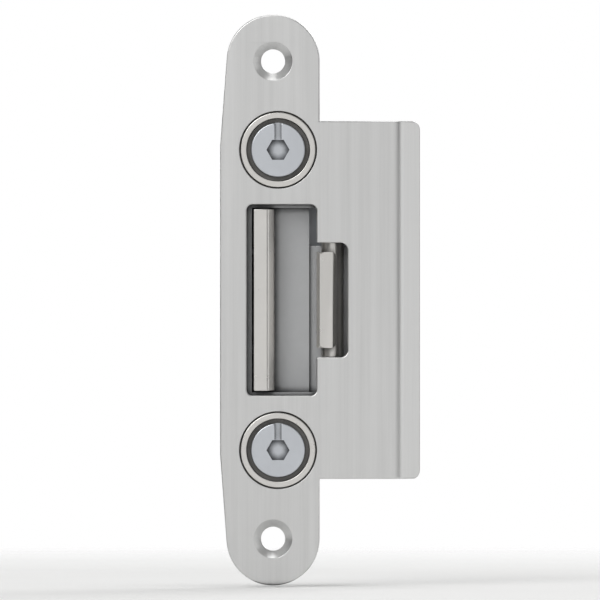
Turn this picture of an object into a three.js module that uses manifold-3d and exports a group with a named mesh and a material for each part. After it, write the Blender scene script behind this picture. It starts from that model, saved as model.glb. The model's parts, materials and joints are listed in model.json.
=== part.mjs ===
// Electric door strike: a lipped face plate carrying a strike body that two eccentric adjusters shift
// sideways. The body holds a swinging keeper, and a solenoid whose rocking armature can lock it.
//
// Units are millimetres. +Z runs up the plate, +X points to the lip and -Y faces the door. The plane
// y = 0 is the plate's back, and the origin lies on it midway between the two fixing screws.

import * as THREE from 'three';
import { ConvexGeometry } from 'three/addons/geometries/ConvexGeometry.js';
import { mergeVertices } from 'three/addons/utils/BufferGeometryUtils.js';
import Module from 'manifold-3d';

const wasm = await Module();
wasm.setup();

// ---------------------------------------------------------------- driving dimensions

const GAP = 0.3; // clearance between pieces that touch

const PLATE = {
  thickness: 2,
  endRadius: 11.65,
  leftEdge: -13.25,
  taperStart: 38.6,
  lipHalfHeight: 44.75,
  lipEnd: 36.9,
  lipCorner: 1.9,
  bendStart: 30.25,
  bendRadius: 3.9,
  bendAngle: 40,
};
const FIXING = { z: 59.7, radius: 3, sinkRadius: 4.8 };
const RECESS = { left: -6.6, right: 10.9, halfHeight: 23.9, corner: 1.5 };
const NOTCH = { right: 18.65, halfHeight: 14.3, corner: 1.75, relief: 1 };
const STUD = { x: 16, z: 38, radius: 2, baseRadius: 2.8, baseBack: 0.6, length: 10.5 };
const GUIDE_WASHER = { radius: 4.5, front: 5.5, back: 6.3 };
const GUIDE_NUT = { flats: 7, front: 6.6, back: 9.8 };

const ADJUSTER = {
  x: 1.25,
  z: 37.55,
  holeRadius: 9.7,
  wellRadius: 7.9,
  headRadius: 6.8,
  headFront: -1.8,
  headBack: 0.2,
  ledgeFront: 0.5,
  journalRadius: 4.7,
  journalBack: 2.3,
  flangeReach: 1.4,
  flangeBack: 2,
  hexFlats: 5,
  hexDepth: 3.3,
  slotWidth: 1.75,
  slotDepth: 0.8,
  eccentricity: 1.4,
  pinRadius: 3.5,
  pinFront: 2.2,
  pinBack: 7.2,
  grooveRadius: 2.6,
  grooveFront: 5.4,
  grooveBack: 6.6,
  clipReach: 1.1,
  clipMouth: 1.8,
};

const BODY = {
  left: -7.3,
  right: 22.5,
  front: 0.4,
  back: 27,
  halfHeight: 31,
  noseHalfHeight: 26,
  corner: 2.5,
  earHalfHeight: 44.3,
  earFront: 2.6,
  earBack: 5.2,
  earCorner: 4,
  slide: 1.1,
  pinSlotGap: 0.15,
};
const POCKET = { left: -5.3, right: 9.05, floor: 9, halfHeight: 23.1 };
const CHAMBER = { left: -5.3, right: 20.8, front: 10.2, halfHeight: 27.5, bayBack: 16 };
const PARTITION = { left: 7.5, front: 10, back: 11.4, top: 13.6 };
const COVER = { thickness: 1, screwX: [-4.5, 19.7], screwZ: 29.25 };
const PANEL = { left: -4.6, right: 20.1, halfHeight: 26.2, rise: 0.6, corner: 2.5 };
const RELIEF = {
  depth: 0.6,
  front: 10,
  back: 24.3,
  rib: 1.2,
  end: 27.4,
  corner: 2,
  topLeft: -2.2,
  topRight: 17.4,
};

const GUIDE = { left: -4.8, ridge: -1.3, right: 0.4, front: -1.6, back: 8.6, halfHeight: 22.8, slope: 1.7 };
const GUIDE_SCREW = { y: 5, z: 12, boreDepth: 3.6 };

const KEEPER = {
  x: 14.9,
  y: 5.2,
  inner: 10.9,
  jawHalfHeight: 12,
  jawFront: -1.75,
  jawRight: 15.7,
  bevel: 0.8,
  endBevel: 0.6,
  corner: 1.2,
  slopeBack: -0.2,
  rootBack: 7.2,
  hubRadius: 2.8,
  hubBottom: -14.2,
  hubTop: 22.8,
  tailReach: 9,
  tailHalfWidth: 1.5,
  tailAngle: 65,
  tailBottom: 14.3,
  tailTop: 22.3,
};
const KEEPER_PIN = { radius: 1.4, halfLength: 25.4, wall: 25.7 };
const KEEPER_SPRING = { radius: 2.35, wire: 0.45, turns: 5, endGap: 1 };

const ARMATURE = {
  x: 7,
  z: 11.4,
  hubRadius: 2.4,
  hubFront: 12.5,
  hubBack: 20,
  thickness: 1.6,
  left: -4.2,
  coilArmRight: 4.6,
  armFront: 14,
  armBack: 24,
  noseFront: 12.6,
  noseBack: 15.4,
  noseLeft: 15.1,
  noseRight: 16.3,
  noseTop: 13.5,
};
const ARMATURE_PIN = { radius: 1, front: 10.2, back: 25, boss: 12.2, bossRadius: 2, groove: 0.35 };
const ARMATURE_CLIP = { inner: 0.85, outer: 2.1, front: 23.6, back: 24.2, mouth: 0.5 };
const ARMATURE_SPRING = { radius: 1.65, wire: 0.25, turns: 3, front: 20.6, length: 2.2 };

const COIL = {
  x: 1.5,
  y: 19,
  bobbinBottom: -25.6,
  bobbinTop: 7.3,
  flange: 1.2,
  flangeRadius: 6.1,
  tubeRadius: 3.6,
  windingRadius: 5.6,
  coreRadius: 2.5,
  poleTop: 8.9,
  threadDepth: 6,
};
const YOKE = { left: -4.5, legLeft: 8.2, legRight: 9.8, front: 13.5, back: 24.5, bottom: -27.2, top: 8 };

const TERMINAL = {
  left: 8,
  right: 21.5,
  front: 12,
  back: 24,
  bottom: -43,
  top: -31.3,
  clampX: [11.2, 18.3],
  clampHalf: 2,
  clampFront: 14.5,
  clampBack: 20,
  screwZ: -37.5,
  screwHole: 1.9,
  middleX: 14.75,
  middleY: 22,
  corner: 1.5,
  roof: 3,
  wireBore: 1.4,
};
const LEAD = { radius: 0.6, wallHole: 1.2, y: 17.5, coilZ: -20, spacing: 4 };

const SCREWS = {
  cover: { headRadius: 1.6, headHeight: 1.2, shankRadius: 1, length: 7 },
  guide: { headRadius: 2.6, headHeight: 1.4, shankRadius: 1.3, length: 5.6 },
  coil: { headRadius: 2.8, headHeight: 1.6, shankRadius: 1.3, length: 10 },
  block: { headRadius: 1.6, headHeight: 1.4, shankRadius: 1.1, length: 5.4 },
  clamp: { headRadius: 1.6, headHeight: 1.4, shankRadius: 1.1, length: 3 },
};

// ---------------------------------------------------------------- materials

const FINISH = {
  satinSteel: { color: 0xc5c5c5, roughness: 0.38, metalness: 1 },
  zincPlated: { color: 0xb9bcc0, roughness: 0.35, metalness: 1 },
  castZinc: { color: 0xa6a8aa, roughness: 0.55, metalness: 1 },
  nickel: { color: 0xc9c7c0, roughness: 0.25, metalness: 1 },
  springSteel: { color: 0x8d9196, roughness: 0.3, metalness: 1 },
  softIron: { color: 0x9a9da1, roughness: 0.45, metalness: 1 },
  brass: { color: 0xc9a45a, roughness: 0.35, metalness: 1 },
  copper: { color: 0xb5643a, roughness: 0.35, metalness: 1 },
  darkPlastic: { color: 0x26282b, roughness: 0.55, metalness: 0 },
  redWire: { color: 0x9c2b25, roughness: 0.5, metalness: 0 },
  blackWire: { color: 0x202124, roughness: 0.5, metalness: 0 },
};

// ---------------------------------------------------------------- geometry helpers

const AXIS = { x: new THREE.Vector3(1, 0, 0), y: new THREE.Vector3(0, 1, 0), z: new THREE.Vector3(0, 0, 1) };

// How a shape drawn in a plane stands in space when it is extruded along each axis: along x it is drawn
// in (y, z), along y in (x, z), and along z in (x, y).
const STAND = {
  x: new THREE.Matrix4().makeBasis(AXIS.y, AXIS.z, AXIS.x),
  y: new THREE.Matrix4().makeBasis(AXIS.x, AXIS.z, AXIS.y.clone().negate()),
  z: new THREE.Matrix4(),
};

// A drawn point set in space at a level along each axis.
const PLACE = {
  x: (p, level) => new THREE.Vector3(level, p.x, p.y),
  y: (p, level) => new THREE.Vector3(p.x, level, p.y),
  z: (p, level) => new THREE.Vector3(p.x, p.y, level),
};

function toSolid(geometry) {
  const bare = new THREE.BufferGeometry();
  bare.setAttribute('position', geometry.getAttribute('position'));
  bare.setIndex(geometry.getIndex());
  const merged = mergeVertices(bare, 1e-4);
  const corners = merged.getIndex().array;
  const triangles = [];
  for (let i = 0; i < corners.length; i += 3) {
    const [a, b, c] = [corners[i], corners[i + 1], corners[i + 2]];
    if (a !== b && b !== c && c !== a) triangles.push(a, b, c);
  }
  const mesh = new wasm.Mesh({
    numProp: 3,
    vertProperties: new Float32Array(merged.getAttribute('position').array),
    triVerts: new Uint32Array(triangles),
  });
  return new wasm.Manifold(mesh);
}

function toGeometry(solid) {
  const mesh = solid.getMesh();
  const geometry = new THREE.BufferGeometry();
  geometry.setAttribute('position', new THREE.BufferAttribute(new Float32Array(mesh.vertProperties), 3));
  geometry.setIndex(new THREE.BufferAttribute(new Uint32Array(mesh.triVerts), 1));
  return geometry;
}

// A mesh named after its piece, made from one solid.
function piece(name, solid, finish) {
  const mesh = new THREE.Mesh(toGeometry(solid), new THREE.MeshStandardMaterial(finish));
  mesh.name = name;
  return mesh;
}

function polar(cx, cy, radius, degrees) {
  const angle = THREE.MathUtils.degToRad(degrees);
  return new THREE.Vector2(cx + radius * Math.cos(angle), cy + radius * Math.sin(angle));
}

function arc(cx, cy, radius, from, to, steps) {
  return Array.from({ length: steps + 1 }, (_, i) => polar(cx, cy, radius, from + ((to - from) * i) / steps));
}

function circle(cx, cy, radius, sides) {
  return arc(cx, cy, radius, 0, 360 - 360 / sides, sides - 1);
}

function corner(cx, cy, radius, from) {
  return radius > 0 ? arc(cx, cy, radius, from, from + 90, 4) : [new THREE.Vector2(cx, cy)];
}

// A rectangle with round corners, each of its own radius, counter-clockwise from the lower left.
function roundedRectangle(x0, x1, y0, y1, radii) {
  const [a, b, c, d] = Array.isArray(radii) ? radii : [radii, radii, radii, radii];
  return [
    ...corner(x0 + a, y0 + a, a, 180),
    ...corner(x1 - b, y0 + b, b, 270),
    ...corner(x1 - c, y1 - c, c, 0),
    ...corner(x0 + d, y1 - d, d, 90),
  ];
}

// A slot with round ends whose centres are two points on one line along the first or second coordinate.
function slot(cx, cy, radius, from, to, along) {
  if (along === 'x') {
    return [...arc(cx + to, cy, radius, -90, 90, 8), ...arc(cx + from, cy, radius, 90, 270, 8)];
  }
  return [...arc(cx, cy + to, radius, 0, 180, 8), ...arc(cx, cy + from, radius, 180, 360, 8)];
}

function prism(axis, points, from, to) {
  const shape = new THREE.Shape(points.map((p) => new THREE.Vector2(p.x ?? p[0], p.y ?? p[1])));
  const geometry = new THREE.ExtrudeGeometry(shape, { depth: to - from, bevelEnabled: false });
  geometry.applyMatrix4(STAND[axis]);
  const start = axis === 'y' ? to : from;
  geometry.translate(...AXIS[axis].clone().multiplyScalar(start).toArray());
  return toSolid(geometry);
}

function block(x0, x1, y0, y1, z0, z1) {
  const geometry = new THREE.BoxGeometry(x1 - x0, y1 - y0, z1 - z0);
  geometry.translate((x0 + x1) / 2, (y0 + y1) / 2, (z0 + z1) / 2);
  return toSolid(geometry);
}

// A body of revolution about the Y axis through (x, z), from [radius, y] profile points.
function turned(profile, x, z, sides) {
  const closed = [...profile, profile[0]].map(([radius, y]) => new THREE.Vector2(radius, y));
  const geometry = new THREE.LatheGeometry(closed, sides);
  return toSolid(geometry.translate(x, 0, z));
}

// A shallow shape with sides sloping at 45 degrees. It is a round-cornered rectangle at a level along the
// axis, and narrows from there over its depth, which may be negative.
function shallow(axis, [u0, u1, v0, v1], radius, level, depth) {
  const over = 0.2;
  const rings = [[-over, level - Math.sign(depth) * over], [Math.abs(depth), level + depth]];
  const points = rings.flatMap(([inset, height]) => {
    const outline = roundedRectangle(u0 + inset, u1 - inset, v0 + inset, v1 - inset, radius - inset);
    return outline.map((p) => PLACE[axis](p, height));
  });
  return toSolid(new ConvexGeometry(points));
}

function union(...solids) {
  return solids.reduce((sum, solid) => sum.add(solid));
}

function cut(solid, ...tools) {
  return tools.reduce((rest, tool) => rest.subtract(tool), solid);
}

// A hexagon with flats across `flats`, its top and bottom sides flat.
function hexagon(flats) {
  return arc(0, 0, flats / Math.sqrt(3), 0, 300, 5);
}

class Helix extends THREE.Curve {
  constructor(radius, length, turns) {
    super();
    this.radius = radius;
    this.length = length;
    this.turns = turns;
  }

  getPoint(t, target = new THREE.Vector3()) {
    const angle = 2 * Math.PI * this.turns * t;
    return target.set(this.radius * Math.cos(angle), this.radius * Math.sin(angle), this.length * t);
  }
}

// A round wire swept along a curve.
function wire(curve, radius, steps, sides) {
  const shape = new THREE.Shape(circle(0, 0, radius, sides));
  return toSolid(new THREE.ExtrudeGeometry(shape, { extrudePath: curve, steps, bevelEnabled: false }));
}

function spring(radius, wireRadius, length, turns) {
  return wire(new Helix(radius, length, turns), wireRadius, turns * 10, 5);
}

// A screw standing along Z: its head above z = 0 and its shank below, with a straight driver slot.
function slottedScrew({ headRadius, headHeight, shankRadius, length }) {
  const head = prism('z', circle(0, 0, headRadius, 16), 0, headHeight);
  const shank = prism('z', circle(0, 0, shankRadius, 10), -length, 0.1);
  const driver = block(-headRadius, headRadius, -0.3, 0.3, headHeight * 0.45, headHeight + 1);
  return cut(union(head, shank), driver);
}

// ---------------------------------------------------------------- face plate

// Front outline: round ends, a slightly tapered left edge and the lip's shoulders on the right.
function plateOutline() {
  const { endRadius: r, leftEdge, taperStart, lipHalfHeight: lip, lipEnd, lipCorner } = PLATE;
  const across = new THREE.Vector2(leftEdge, taperStart - FIXING.z);
  const spread = THREE.MathUtils.radToDeg(Math.acos(r / across.length()));
  const tangent = 360 + THREE.MathUtils.radToDeg(across.angle() - 2 * Math.PI) - spread;
  const upper = [
    ...arc(lipEnd - lipCorner, lip - lipCorner, lipCorner, 0, 90, 5),
    new THREE.Vector2(r, lip),
    ...arc(0, FIXING.z, r, 0, tangent, 16),
    new THREE.Vector2(leftEdge, taperStart),
  ];
  const lower = upper.map((p) => new THREE.Vector2(p.x, -p.y)).reverse();
  return [...upper, ...lower];
}

// Side profile: a flat sheet whose lip bends away from the door.
function plateProfile() {
  const { thickness, bendStart, bendRadius, bendAngle, lipEnd } = PLATE;
  const middle = bendRadius - thickness;
  const outer = arc(bendStart, middle, bendRadius, -90, bendAngle - 90, 6);
  const inner = arc(bendStart, middle, bendRadius - thickness, -90, bendAngle - 90, 6);
  const along = polar(0, 0, 1, bendAngle);
  const flange = (lipEnd - outer[6].x) / along.x;
  const far = along.clone().multiplyScalar(flange);
  return [
    new THREE.Vector2(PLATE.leftEdge - 1, -thickness),
    ...outer,
    outer[6].clone().add(far),
    inner[6].clone().add(far),
    ...inner.reverse(),
    new THREE.Vector2(PLATE.leftEdge - 1, 0),
  ];
}

function fixingHole(z) {
  const { radius, sinkRadius } = FIXING;
  const front = -PLATE.thickness;
  const over = 0.5;
  const depth = sinkRadius - radius;
  return turned([
    [0, front - over],
    [sinkRadius + over, front - over],
    [radius, front + depth],
    [radius, over],
    [0, over],
  ], 0, z, 28);
}

function keeperNotch() {
  const { right, halfHeight: h, corner, relief } = NOTCH;
  const through = prism('y', roundedRectangle(RECESS.right - 3, right, -h, h, [0, corner, corner, 0]), -3, 1);
  const undercut = prism('z', [
    [right - relief, 0.1],
    [right - relief, -PLATE.thickness],
    [right + relief + 0.1, 0.1],
  ], -h, h);
  return union(through, undercut);
}

function weldStud(side) {
  const { x, z, radius, baseRadius, baseBack, length } = STUD;
  return turned([
    [0, -0.5],
    [baseRadius, -0.5],
    [baseRadius, baseBack],
    [radius, baseBack + GAP],
    [radius, length],
    [0, length],
  ], x, side * z, 16);
}

function strikePlate() {
  const { left, right, halfHeight, corner } = RECESS;
  const sheet = prism('y', plateOutline(), -4, 6).intersect(prism('z', plateProfile(), -75, 75));
  const openings = [
    prism('y', roundedRectangle(left, right, -halfHeight, halfHeight, corner), -3, 1),
    keeperNotch(),
  ];
  for (const side of [1, -1]) {
    openings.push(fixingHole(side * FIXING.z));
    openings.push(prism('y', circle(ADJUSTER.x, side * ADJUSTER.z, ADJUSTER.holeRadius, 36), -3, 1));
  }
  return piece('strike_plate', union(cut(sheet, ...openings), weldStud(1), weldStud(-1)), FINISH.satinSteel);
}

// ---------------------------------------------------------------- adjusters

function adjusterBush() {
  const { holeRadius, wellRadius, journalRadius, ledgeFront, flangeReach, flangeBack } = ADJUSTER;
  const outer = holeRadius - GAP;
  const bore = journalRadius + GAP;
  return turned([
    [bore, flangeBack],
    [bore, ledgeFront],
    [wellRadius, ledgeFront],
    [wellRadius, -PLATE.thickness],
    [outer, -PLATE.thickness],
    [outer, GAP],
    [outer + flangeReach, GAP],
    [outer + flangeReach, flangeBack - 0.7],
    [outer - 0.6, flangeBack],
  ], 0, 0, 36);
}

function adjuster() {
  const a = ADJUSTER;
  const body = turned([
    [0, a.headFront],
    [a.headRadius - 0.3, a.headFront],
    [a.headRadius, a.headFront + 0.3],
    [a.headRadius, a.headBack],
    [a.journalRadius, a.headBack],
    [a.journalRadius, a.journalBack],
    [0, a.journalBack],
  ], 0, 0, 32);
  const pin = turned([
    [0, a.pinFront],
    [a.pinRadius, a.pinFront],
    [a.pinRadius, a.grooveFront],
    [a.grooveRadius, a.grooveFront],
    [a.grooveRadius, a.grooveBack],
    [a.pinRadius - 0.3, a.grooveBack],
    [a.pinRadius - 0.3, a.pinBack],
    [0, a.pinBack],
  ], 0, a.eccentricity, 20);
  const socket = prism('y', hexagon(a.hexFlats), a.headFront - 1, a.headFront + a.hexDepth);
  const mark = block(
    -a.slotWidth / 2, a.slotWidth / 2,
    a.headFront - 1, a.headFront + a.slotDepth,
    0, a.headRadius + 1,
  );
  return cut(union(body, pin), socket, mark);
}

// An open retaining ring in the groove of the eccentric pin.
function adjusterClip() {
  const { grooveRadius, grooveFront, grooveBack, eccentricity, pinRadius, clipReach, clipMouth } = ADJUSTER;
  const outer = pinRadius + clipReach;
  const ring = turned([
    [grooveRadius + GAP, grooveFront + GAP],
    [outer, grooveFront + GAP],
    [outer, grooveBack - GAP],
    [grooveRadius + GAP, grooveBack - GAP],
  ], 0, eccentricity, 20);
  const mouth = block(-clipMouth, clipMouth, grooveFront, grooveBack, eccentricity, eccentricity + outer + 1);
  return cut(ring, mouth);
}

function guideWasher() {
  const { radius, front, back } = GUIDE_WASHER;
  const bore = STUD.radius + GAP;
  return turned([[bore, front], [radius, front], [radius, back], [bore, back]], 0, 0, 20);
}

function guideNut() {
  const { flats, front, back } = GUIDE_NUT;
  const body = prism('y', hexagon(flats), front, back);
  return cut(body, prism('y', circle(0, 0, STUD.radius + GAP, 16), front - 1, back + 1));
}

function adjusterSet(name, side) {
  const parts = [
    piece(`adjuster_bush_${name}`, adjusterBush(), FINISH.nickel),
    piece(`adjuster_${name}`, adjuster(), FINISH.zincPlated),
    piece(`adjuster_clip_${name}`, adjusterClip(), FINISH.springSteel),
  ];
  parts.forEach((part) => part.position.set(ADJUSTER.x, 0, side * ADJUSTER.z));
  return parts;
}

function studSet(name, side) {
  const parts = [
    piece(`guide_washer_${name}`, guideWasher(), FINISH.zincPlated),
    piece(`guide_nut_${name}`, guideNut(), FINISH.zincPlated),
  ];
  parts.forEach((part) => part.position.set(STUD.x, 0, side * STUD.z));
  return parts;
}

// ---------------------------------------------------------------- strike body

// Each ear has an upright slot for the eccentric pin and a level slot for the plate's stud.
function earSlots(side) {
  const { x, z, eccentricity, pinRadius } = ADJUSTER;
  const { slide, pinSlotGap, earFront, earBack } = BODY;
  const lowest = eccentricity * Math.SQRT1_2 - 0.2;
  const eccentricSlot = slot(x, side * z, pinRadius + pinSlotGap, lowest, eccentricity + 0.2, 'y');
  const studSlot = slot(STUD.x, side * STUD.z, STUD.radius + GAP, -slide, slide, 'x');
  return [eccentricSlot, studSlot].map((outline) => prism('y', outline, earFront - 1, earBack + 1));
}

// An open bearing for the keeper pin, let into the end wall from the front.
function pinBearing(side) {
  const { x, y } = KEEPER;
  const half = KEEPER_PIN.radius + GAP;
  const ends = [side * (POCKET.halfHeight - 1), side * KEEPER_PIN.wall].sort((a, b) => a - b);
  return union(
    block(x - half, x + half, 0, y, ...ends),
    prism('z', circle(x, y, half, 16), ...ends),
  );
}

// A hole through the lower end wall, out of the coil's chamber.
function endWallHole(x, y, radius) {
  return prism('z', circle(x, y, radius, 12), -BODY.halfHeight - 1, -CHAMBER.halfHeight + 1);
}

// The housing's holes that come in pairs, one above and one below.
function pairedHoles(side) {
  const guideBore = circle(GUIDE_SCREW.y, side * GUIDE_SCREW.z, SCREWS.guide.shankRadius + GAP, 12);
  const coverRadius = SCREWS.cover.shankRadius + GAP;
  const coverBores = COVER.screwX.map((x) => circle(x, side * COVER.screwZ, coverRadius, 12));
  const depth = SCREWS.cover.length + 1;
  return [
    ...earSlots(side),
    pinBearing(side),
    prism('x', guideBore, BODY.left - 1, POCKET.left + 1),
    ...coverBores.map((bore) => prism('y', bore, BODY.back - depth, BODY.back + 1)),
  ];
}

// The wall behind the keeper, which leaves a window above it for the locking tail.
function partition() {
  const { left, front, back, top } = PARTITION;
  return block(left, CHAMBER.right + 0.5, front, back, -POCKET.halfHeight - 0.5, top);
}

// Shallow reliefs cast into both sides, in two fields with a rib between them, and into the top.
function reliefs() {
  const { depth, front, back, rib, end, corner: radius, topLeft, topRight } = RELIEF;
  const fields = [[front, back, rib, end], [front, back, -end, -rib]];
  return [
    ...fields.map((field) => shallow('x', field, radius, BODY.left, depth)),
    ...fields.map((field) => shallow('x', field, radius, BODY.right, -depth)),
    shallow('z', [topLeft, topRight, front, back], radius, BODY.halfHeight, -depth),
  ];
}

function housing() {
  const b = BODY;
  const p = POCKET;
  const c = CHAMBER;
  const end = b.halfHeight;
  const earOutline = roundedRectangle(b.left, b.right, -b.earHalfHeight, b.earHalfHeight, b.earCorner);
  const shell = union(
    block(b.left, b.right, b.front, b.earFront + 1, -b.noseHalfHeight, b.noseHalfHeight),
    prism('y', roundedRectangle(b.left, b.right, -end, end, b.corner), b.earFront, b.back),
    prism('y', earOutline, b.earFront, b.earBack),
  );
  const hollow = [
    block(p.left, p.right, -1, p.floor, -p.halfHeight, p.halfHeight),
    block(p.right, c.right, -1, c.bayBack, -p.halfHeight, p.halfHeight),
    block(c.left, c.right, c.front, b.back + 1, -c.halfHeight, c.halfHeight),
  ];
  const holes = [
    endWallHole(COIL.x, COIL.y, SCREWS.coil.shankRadius + 0.5),
    endWallHole(TERMINAL.middleX, TERMINAL.middleY, SCREWS.block.shankRadius + 0.4),
    ...TERMINAL.clampX.map((x) => endWallHole(x, LEAD.y, LEAD.wallHole)),
  ];
  holes.push(...pairedHoles(1), ...pairedHoles(-1));
  const pin = ARMATURE_PIN;
  const boss = prism('y', circle(ARMATURE.x, ARMATURE.z, pin.bossRadius, 20), c.front - 0.5, pin.boss);
  const bore = circle(ARMATURE.x, ARMATURE.z, pin.radius + GAP, 16);
  const bossBore = prism('y', bore, pin.front - GAP, pin.boss + 1);
  const solid = cut(union(cut(shell, ...hollow, ...holes, ...reliefs()), boss, partition()), bossBore);
  return piece('housing', solid, FINISH.castZinc);
}

// A cast lid whose middle stands out at the back.
function rearCover() {
  const front = BODY.back + GAP;
  const back = front + COVER.thickness;
  const end = BODY.halfHeight;
  const lid = prism('y', roundedRectangle(BODY.left, BODY.right, -end, end, BODY.corner), front, back);
  const field = [PANEL.left, PANEL.right, -PANEL.halfHeight, PANEL.halfHeight];
  const raised = shallow('y', field, PANEL.corner, back, PANEL.rise);
  const holes = [];
  for (const x of COVER.screwX) {
    for (const side of [1, -1]) {
      const bore = circle(x, side * COVER.screwZ, SCREWS.cover.shankRadius + GAP, 12);
      holes.push(prism('y', bore, front - 1, back + 1));
    }
  }
  return piece('rear_cover', cut(union(lid, raised), ...holes), FINISH.zincPlated);
}

function coverScrews() {
  const places = COVER.screwX.flatMap((x) => [1, -1].map((side) => [x, side * COVER.screwZ]));
  return places.map(([x, z], index) => {
    const screw = piece(`cover_screw_${index + 1}`, slottedScrew(SCREWS.cover), FINISH.zincPlated);
    screw.rotation.x = -Math.PI / 2;
    screw.position.set(x, BODY.back + COVER.thickness + 2 * GAP, z);
    return screw;
  });
}

// ---------------------------------------------------------------- latch guide

function latchGuide() {
  const g = GUIDE;
  const profile = [
    [g.left, g.back],
    [g.left, g.front],
    [g.ridge, g.front],
    [g.right, g.front + g.slope],
    [g.right, g.back],
  ];
  const body = prism('z', profile, -g.halfHeight, g.halfHeight);
  const { y, z, boreDepth } = GUIDE_SCREW;
  const radius = SCREWS.guide.shankRadius + GAP;
  const bores = [z, -z].map((at) => prism('x', circle(y, at, radius, 12), g.left - 1, g.left + boreDepth));
  return piece('latch_guide', cut(body, ...bores), FINISH.nickel);
}

function latchGuideScrew(name, side) {
  const screw = piece(`latch_guide_screw_${name}`, slottedScrew(SCREWS.guide), FINISH.zincPlated);
  screw.rotation.y = -Math.PI / 2;
  screw.position.set(BODY.left - GAP, GUIDE_SCREW.y, side * GUIDE_SCREW.z);
  return screw;
}

// ---------------------------------------------------------------- keeper

// The jaw's section: an upright face for the latch, and a front that falls away to let it swing clear of
// the notch. Seen from the front, its corners beside the notch are round.
function keeperJaw() {
  const k = KEEPER;
  const h = k.jawHalfHeight;
  const profile = [
    [k.inner, k.rootBack],
    [k.inner, k.jawFront + k.bevel],
    [k.inner + k.bevel, k.jawFront],
    [k.jawRight - k.bevel, k.slopeBack],
    [k.jawRight, k.slopeBack + k.bevel],
    [k.jawRight, k.rootBack],
  ];
  const section = prism('z', profile, -h, h);
  const outline = roundedRectangle(k.inner - 1, k.jawRight, -h, h, [0, k.corner, k.corner, 0]);
  const plan = prism('y', outline, k.jawFront - 1, k.rootBack + 1);
  const ends = prism('x', [
    [k.rootBack + 1, -h],
    [k.jawFront + k.endBevel, -h],
    [k.jawFront, -h + k.endBevel],
    [k.jawFront, h - k.endBevel],
    [k.jawFront + k.endBevel, h],
    [k.rootBack + 1, h],
  ], k.inner - 1, k.jawRight + 1);
  return section.intersect(plan).intersect(ends);
}

function keeperTail() {
  const { x, y, tailReach, tailHalfWidth: w, tailAngle, tailBottom, tailTop } = KEEPER;
  const along = polar(0, 0, 1, tailAngle);
  const aside = polar(0, 0, w, tailAngle + 90);
  const root = new THREE.Vector2(x, y);
  const tip = root.clone().addScaledVector(along, tailReach);
  const corners = [
    root.clone().sub(aside),
    tip.clone().sub(aside),
    tip.clone().add(aside),
    root.clone().add(aside),
  ];
  return prism('z', corners, tailBottom, tailTop);
}

function keeper() {
  const { x, y, hubRadius, hubBottom, hubTop } = KEEPER;
  const hub = prism('z', circle(x, y, hubRadius, 24), hubBottom, hubTop);
  const bore = prism('z', circle(x, y, KEEPER_PIN.radius + GAP, 16), -30, 30);
  return piece('keeper', cut(union(keeperJaw(), hub, keeperTail()), bore), FINISH.nickel);
}

function keeperPin() {
  const { radius, halfLength } = KEEPER_PIN;
  const solid = prism('z', circle(KEEPER.x, KEEPER.y, radius, 16), -halfLength, halfLength);
  return piece('keeper_pin', solid, FINISH.springSteel);
}

// Fills the bearing's mouth in front of the pin, behind the face plate.
function pinBlock(name, side) {
  const { x, y } = KEEPER;
  const half = KEEPER_PIN.radius;
  const ends = [side * (POCKET.halfHeight + GAP), side * (KEEPER_PIN.wall - GAP)].sort((a, b) => a - b);
  const solid = block(x - half, x + half, BODY.front + GAP, y - KEEPER_PIN.radius - GAP, ...ends);
  return piece(`pin_block_${name}`, solid, FINISH.brass);
}

function keeperSpring() {
  const { radius, wire: wireRadius, turns, endGap } = KEEPER_SPRING;
  const bottom = -POCKET.halfHeight + endGap;
  const length = KEEPER.hubBottom - endGap - bottom;
  const part = piece('keeper_spring', spring(radius, wireRadius, length, turns), FINISH.springSteel);
  part.position.set(KEEPER.x, KEEPER.y, bottom);
  return part;
}

// ---------------------------------------------------------------- armature

function armature() {
  const a = ARMATURE;
  const low = a.z - a.thickness / 2;
  const high = a.z + a.thickness / 2;
  const hub = prism('y', circle(a.x, a.z, a.hubRadius, 24), a.hubFront, a.hubBack);
  const coilArm = block(a.left, a.coilArmRight, a.armFront, a.armBack, low, high);
  const neck = block(a.coilArmRight - 1, a.x, a.armFront, a.hubBack, low, high);
  const lockArm = block(a.x, a.noseRight, a.noseFront, a.noseBack, low, high);
  const nose = block(a.noseLeft, a.noseRight, a.noseFront, a.noseBack, low, a.noseTop);
  const bore = prism('y', circle(a.x, a.z, ARMATURE_PIN.radius + GAP, 16), a.hubFront - 1, a.hubBack + 1);
  return piece('armature', cut(union(hub, coilArm, neck, lockArm, nose), bore), FINISH.softIron);
}

function armaturePin() {
  const { radius, front, back } = ARMATURE_PIN;
  const floor = radius - ARMATURE_PIN.groove;
  const grooveFront = ARMATURE_CLIP.front - 0.2;
  const grooveBack = ARMATURE_CLIP.back + 0.2;
  const solid = turned([
    [0, front],
    [radius, front],
    [radius, grooveFront],
    [floor, grooveFront],
    [floor, grooveBack],
    [radius, grooveBack],
    [radius, back],
    [0, back],
  ], ARMATURE.x, ARMATURE.z, 20);
  return piece('armature_pin', solid, FINISH.springSteel);
}

function armatureClip() {
  const { x, z } = ARMATURE;
  const { inner, outer, front, back, mouth } = ARMATURE_CLIP;
  const ring = turned([[inner, front], [outer, front], [outer, back], [inner, back]], x, z, 20);
  const opening = block(x - mouth, x + mouth, front - 1, back + 1, z, z + outer + 1);
  return piece('armature_clip', cut(ring, opening), FINISH.springSteel);
}

function armatureSpring() {
  const { radius, wire: wireRadius, turns, front, length } = ARMATURE_SPRING;
  const part = piece('armature_spring', spring(radius, wireRadius, length, turns), FINISH.springSteel);
  part.rotation.x = -Math.PI / 2;
  part.position.set(ARMATURE.x, front, ARMATURE.z);
  return part;
}

// ---------------------------------------------------------------- solenoid

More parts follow.
